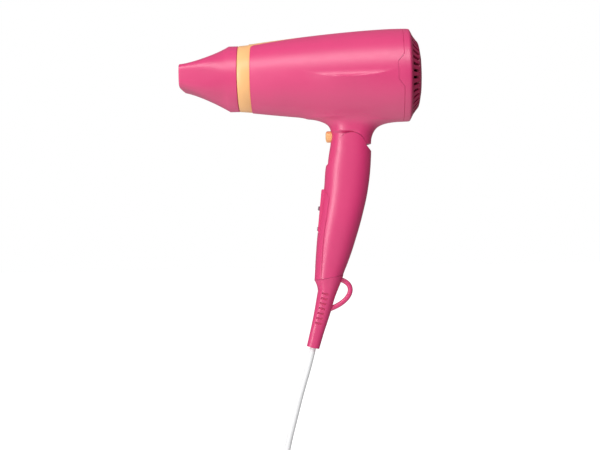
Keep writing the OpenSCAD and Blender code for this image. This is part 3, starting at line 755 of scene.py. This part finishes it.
def nozzle_ring(t, inset):
    """Section of the nozzle: a flat rounded box at its mouth, t = 0, and a circle at its collar, t = 1."""
    x = TIP_X + (COLLAR_X - TIP_X) * t
    h = SLOT_HALF_H + (COLLAR_R - SLOT_HALF_H) * t ** 1.38 - inset
    w = SLOT_HALF_W + (COLLAR_R - SLOT_HALF_W) * ease(t) - inset
    n = SLOT_POWER + (2 - SLOT_POWER) * ease(t)
    a = np.arange(SECTION_SIDES) * math.tau / SECTION_SIDES
    rise = 1.5 * (1 - t) ** 2
    return np.stack([np.full(SECTION_SIDES, x), -w * power(np.cos(a), n),
                     AXIS_Z + rise + h * power(np.sin(a), n)], 1)


def make_nozzle():
    steps = np.linspace(0, 1, 49)
    lip = [nozzle_ring(0, inset) + np.array([back, 0, 0])
           for inset, back in ((0.75, 0.0), (0.35, 0.08), (0.1, 0.3))]
    collar = nozzle_ring(1, 0)
    ends = [collar + np.array([RING_X - 0.5 - COLLAR_X, 0, 0])]
    end = nozzle_ring(1, 0.35) + np.array([RING_X - COLLAR_X, 0, 0])
    body = loft("nozzle", lip + [nozzle_ring(t, 0) for t in steps if t > 0.02] + ends + [end])
    mouth = [nozzle_ring(0, 1.2) - np.array([2, 0, 0]), nozzle_ring(0, 1.4) + np.array([0.2, 0, 0])]
    back = [nozzle_ring(1, 1.8) + np.array([1, 0, 0]) * (RING_X + 2 - COLLAR_X)]
    inner = loft("cutter", mouth + [nozzle_ring(t, 1.8) for t in steps if t > 0.02] + back)
    cut(body, inner)
    stand_for(body, "nozzle")


make_nozzle()


def make_rear_cover():
    edge = SEAM_X + 6.8
    cover = revolve("cover", [
        (SEAM_X + 0.1, REAR_R - 3.4), (SEAM_X + 0.1, REAR_R - 0.3), (SEAM_X + 0.4, REAR_R - 0.03),
        (edge - 2.2, REAR_R - 0.15), (edge - 1.2, REAR_R - 0.35), (edge - 0.45, REAR_R - 0.8),
        (edge - 0.1, REAR_R - 1.4), (edge, REAR_R - 2), (edge, REAR_R - 3.4)], 256)
    band = revolve("cutter", [(SEAM_X - 9, REAR_R - 2.6), (SEAM_X - 9, REAR_R), (SEAM_X + 0.8, REAR_R),
                              (SEAM_X + 0.8, REAR_R - 2.6)], 256)
    join(cover, keep(tab_plate(0.0), band))
    stand_for(cover, "rear_cover")


make_rear_cover()


def make_intake_grille():
    """A shallow dome with ribs and slots round its flank, and a second ring of slots on its face."""
    base = SEAM_X + 6
    end = SEAM_X + 17.4
    outside = [(base - 2, 39.3), (base, 39.3), (base + 0.6, 40.6), (base + 1.3, 40.4)]
    outside += [(x, through(x, [(base + 1.3, 40.4), (57.5, 36.4), (60.3, 32.5), (63.2, 27.6), (64.9, 18.5)]))
                for x in np.linspace(base + 1.6, 64.9, 24)]
    outside += [(65.25, 14), (65.5, 8), (end, 0)]
    inside = [(end - 2, 0), (end - 2.4, 13), (62.6, 22), (60.8, 27), (57, 33), (base, 37.4), (base - 2, 37.4)]
    dome = revolve("dome", inside + outside, 288)
    slots = 36
    blades = []
    for k in range(slots):
        turn = k * math.tau / slots
        blades.append(slab((base - 4, -1.35, 28.6), (base + 26, 1.35, 38.4), turn, (0, 0, AXIS_Z)))
        if k % 2 == 0:
            blades.append(slab((base - 4, -1.3, 13), (base + 26, 1.3, 24.6), turn, (0, 0, AXIS_Z)))
    cut(dome, gather(blades))
    stand_for(dome, "intake_grille")


make_intake_grille()


# ---- handle ----

def handle_ring(z, inset, at=None):
    """Section of the handle at z, drawn at another height if one is given."""
    a = np.arange(SECTION_SIDES) * math.tau / SECTION_SIDES
    f, r = float(handle_front(z)) + inset, float(handle_rear(z)) - inset
    return np.stack([(f + r) / 2 + (r - f) / 2 * power(np.cos(a), SECTION),
                     -(float(handle_half(z)) - inset) * power(np.sin(a), SECTION),
                     np.full(SECTION_SIDES, z if at is None else at)], 1)


def tilted(outline, tilt, origin):
    """Takes (x, z) points from a frame tilted about Y into the hinge's own."""
    c, s = math.cos(math.radians(tilt)), math.sin(math.radians(tilt))
    return [(origin[0] + x * c + z * s, origin[1] - x * s + z * c) for x, z in outline]


EAR_ARC = [(EAR_R * math.cos(a), EAR_R * math.sin(a)) for a in np.radians(np.arange(12, 205, 4))]
HANDLE_SIDE = EAR_ARC + [(-24.1, -16.6), (-40, -16.6), (-50, -124.3), (-36.9, -122.1), (-9.6, -117.6),
                         (8, -114.7), (30, -60), (18.4, -3.4), (17.6, -3.2), (13.2, 2.2)]
SCREWS = [(-22, -88), (5.5, -34)]


def make_handle():
    levels = np.arange(15, -124.5, -1.0)
    outer = loft("handle", [handle_ring(z, 0) for z in levels])
    keep(outer, plate(HANDLE_SIDE, -40, 40))
    hollow = loft("cutter", [handle_ring(z, 1.4 if z > -28 else WALL, z + (2 if z > 14 else 0))
                             for z in levels])
    cut(outer, hollow)
    cut(outer, slab((-FAR, -0.05, -FAR), (FAR, 60, FAR)))
    window = tilted([(-4, -20.1), (4, -20.1), (4, 20.1), (-4, 20.1)], *PANEL)
    cut(outer, plate(window, -7.6, 7.6))
    line = [(float(handle_front(z)) - 1 + 7.4 * ease((-38.0 - z) / 10) ** 0.5, z)
            for z in np.arange(-38, -127, -1.0)]
    groove = [(x - 0.25, z) for x, z in line] + [(x + 0.25, z) for x, z in line[::-1]]
    skin = loft("cutter", [handle_ring(z, -0.5) for z in levels])
    cut(skin, loft("cutter", [handle_ring(z, 0.4, z + (2 if z > 14 else -2 if z < -123 else 0))
                              for z in levels]))
    cut(outer, keep(skin, plate(groove, -40, 40)))
    left = outer
    right = mirrored(outer, "handle_right")
    for x, z in SCREWS:
        cut(right, bar_y(3.0, x, z, 10, 32, 48))
    cut(left, bar_y(3.0, 0, 0, -15.9, -10, 64))
    stand_for(left, "handle_shell_left")
    stand_for(right, "handle_shell_right")


make_handle()


def crowned(name, outline, sides, centre):
    """Turns an outline about the -X axis through centre, given as (distance before the hinge, radius)."""
    return revolve(name, [(-along, r) for along, r in outline], sides, centre, "x")


def make_cool_shot():
    button = crowned("button", [(14.2, 0), (14.2, 5.9), (15.4, 5.9), (15.4, 5.3), (22.2, 5.3), (22.75, 5.15),
                                (23.2, 4.75), (23.55, 4.1), (23.8, 3.2), (23.95, 1.8), (24, 0)],
                     96, (0, BUTTON_Z))
    stand_for(button, "cool_shot_button", 25)


make_cool_shot()


SPEED_Z, HEAT_Z, TRAVEL = 2.0, -13.0, 4.0


def panel_block(x0, x1, half_y, z0, z1):
    return plate(tilted([(x0, z0), (x1, z0), (x1, z1), (x0, z1)], *PANEL), -half_y, half_y)


def make_switches():
    panel = plate(tilted([(1.6, -19.9), (1.6, 19.9), (-1.1, 19.9), (-1.6, 19.4), (-1.9, 18.2), (-1.9, -18.2),
                          (-1.6, -19.4), (-1.1, -19.9)], *PANEL), -7.4, 7.4)
    for z in (SPEED_Z, HEAT_Z):
        cut(panel, panel_block(-3, 3, 3.1, z - 2.6 - TRAVEL, z + 2.6 + TRAVEL))
    stand_for(panel, "switch_panel")
    for node, z, proud in (("speed_slider", SPEED_Z, 1.6), ("heat_slider", HEAT_Z - TRAVEL, 0.7)):
        knob = plate(tilted([(2.1, z - 2), (2.1, z + 2), (-1.2 - proud, z + 2), (-1.8 - proud, z + 1.5),
                             (-1.8 - proud, z - 1.5), (-1.2 - proud, z - 2)], *PANEL), -2.8, 2.8)
        ridges = [plate(tilted([(-1.5 - proud, z + k - 0.3), (-2.2 - proud, z + k - 0.15),
                                (-2.2 - proud, z + k + 0.15), (-1.5 - proud, z + k + 0.3)], *PANEL),
                        -2.5, 2.5)
                  for k in (-1.2, 0, 1.2)]
        join(knob, gather(ridges), panel_block(2.05, 3.3, 4.6, z - 2.9, z + 2.9))
        stand_for(knob, node)


make_switches()


# ---- strain relief, plug and tie ----

RELIEF = (14.0, (-23.2, -120))
RELIEF_LENGTH = 66.7
RELIEF_FRONT = [(0, -12.8), (4, -11.1), (9, -9.2), (14, -7.7), (20, -7.2), (40, -6.2), (68, -6)]
RELIEF_REAR = [(0, 12.5), (4, 11.9), (14, 9.8), (32, 8.6), (52, 6.8), (68, 5.9)]
LOOP = [np.array(p) for p in ((10, 0.5), (26, 0.5), (27, -16), (6, -29))]
LOOP_POWER = 3.0
BORE_R = CORD_D / 2 + 0.02
PIN_Y = 9.5
PIN_ROOT_R = 2.0
PIN_R = 2.4


def relief_half(s):
    """Half width of the strain relief at s below its top."""
    return 5.6 + 7 * (1 - min(max(s, 0), 50) / 50) ** 1.6


def relief_ring(s):
    front, rear = through(s, RELIEF_FRONT), through(s, RELIEF_REAR)
    half = relief_half(s)
    a = np.arange(128) * math.tau / 128
    x = (front + rear) / 2 + (rear - front) / 2 * power(np.cos(a), SECTION)
    y = -half * power(np.sin(a), SECTION)
    z = -s + 0.431 * max(0, 1 - s / 13) * x
    places = tilted(list(zip(x, z)), *RELIEF)
    return np.stack([[p[0] for p in places], y, [p[1] for p in places]], 1)


def loop_mid(t):
    a, b, c, d = LOOP
    return (1 - t) ** 3 * a + 3 * (1 - t) ** 2 * t * b + 3 * (1 - t) * t * t * c + t ** 3 * d


def make_relief():
    relief = loft("relief", [relief_ring(s) for s in np.arange(0, RELIEF_LENGTH + 0.01, 0.7).tolist()])
    rings = []
    for t in np.linspace(0, 1, 60):
        middle = loop_mid(t)
        run = loop_mid(min(1, t + 0.01)) - loop_mid(max(0, t - 0.01))
        across = np.array([-run[1], run[0]]) / np.linalg.norm(run)
        ring = []
        for a in np.arange(24) * math.tau / 24:
            p = middle + across * 2.3 * power(math.cos(a), LOOP_POWER)
            q = tilted([(p[0], p[1])], *RELIEF)[0]
            ring.append((q[0], -3.0 * float(power(math.sin(a), LOOP_POWER)), q[1]))
        rings.append(np.array(ring))
    join(relief, loft("loop", rings[::-1]))
    cutters = []
    for k in range(7):
        s = 16 + 4.7 * k
        deep = relief_half(s) - 1.2
        front = -7.4 + 0.1 * k
        cutters.append(plate(tilted([(-20, -s), (front, -s), (front, -s + 2), (-20, -s + 2)], *RELIEF),
                             -20, 20))
        for low, high in ((-20, -deep), (deep, 20)):
            cutters.append(plate(tilted([(-3, -s), (3, -s), (3, -s + 1.8), (-3, -s + 1.8)], *RELIEF),
                                 low, high))
    cut(relief, gather(cutters))
    end = tilted([(0, -RELIEF_LENGTH - 2), (0, -RELIEF_LENGTH + 30)], *RELIEF)
    lean = math.radians(RELIEF[0])
    bore = loft("bore", [[(x + BORE_R * math.cos(a) * math.cos(lean), BORE_R * math.sin(a),
                           z - BORE_R * math.cos(a) * math.sin(lean))
                          for a in -np.arange(48) * math.tau / 48] for x, z in end])
    cut(relief, bore)
    stand_for(relief, "strain_relief")


make_relief()


PLUG = np.array((-36.0, -35.0, FLOOR_Z + 9))


def plug_ring(x, r):
    """Section of the plug's body: two half circles about the pins' axes, joined by flats."""
    a = np.arange(96) * math.tau / 96
    shift = PIN_Y * np.sign(np.cos(a)) * (abs(np.cos(a)) > 1e-9)
    return np.stack([np.full(96, PLUG[0] + x), PLUG[1] - r * np.cos(a) - shift, PLUG[2] + r * np.sin(a)], 1)


def pin_bar(y, outline):
    """Turns a list of (x, r) about an axis along X beside the plug's middle."""
    a = -np.arange(64) * math.tau / 64
    return loft("bar", [np.stack([np.full(64, PLUG[0] + x), PLUG[1] + y + r * np.cos(a),
                                  PLUG[2] + r * np.sin(a)], 1) for x, r in outline])


def make_plug():
    flank = [(x, 6.6 + 1.6 * (x - 0.5) / 13.5) for x in (4, 8, 12, 14)]
    body = loft("plug", [plug_ring(x, r) for x, r in [(0, 5.6), (0.5, 6.6), *flank, (20, 8.2), (31.2, 8.2),
                                                      (31.8, 7.9), (32, 7.4)]])
    for y in (-PIN_Y, PIN_Y):
        cut(body, pin_bar(y, [(20, PIN_ROOT_R), (40, PIN_ROOT_R)]))
    stand_for(body, "plug_body")
    pins = [pin_bar(y, [(20, PIN_ROOT_R), (32, PIN_ROOT_R), (32, PIN_R), (50, PIN_R), (50.5, 2.15),
                        (50.85, 1.7), (51, 1.4)]) for y in (-PIN_Y, PIN_Y)]
    stand_for(gather(pins), "plug_pins")
    sleeve = pin_bar(0, [(-24, 4), (-20, 4.6), (-19, 4.2), (-18, 4.2), (-17, 5.1), (-15, 5.2), (-14, 4.7),
                         (-13, 4.7), (-12, 5.7), (-10, 5.8), (-9, 5.3), (-8, 5.3), (-7, 6.4), (0, 6.6)])
    cut(sleeve, pin_bar(0, [(-25, BORE_R), (-21, BORE_R)]))
    stand_for(sleeve, "plug_relief")


make_plug()


def make_tie():
    angle = math.radians(150)
    c, s = math.cos(angle), math.sin(angle)
    middle = (-111.0, 0.0)
    inner, width, high = INNER_TURN - CORD_D / 2, 4 * CORD_D, 2 * CORD_D

    def block(x0, x1, half, z0, z1):
        corners = [(x0, -half), (x1, -half), (x1, half), (x0, half)]
        flat = [(middle[0] + x * c - y * s, middle[1] + x * s + y * c) for x, y in corners]
        return loft("cutter", [[(x, y, FLOOR_Z + z) for x, y in flat] for z in (z0, z1)])
    band = block(inner - 1.5, inner + width + 1.0, 4, 0, high + 1)
    cut(band, block(inner - 0.5, inner + width, 5, -1, high))
    stand_for(band, "cord_tie")


make_tie()
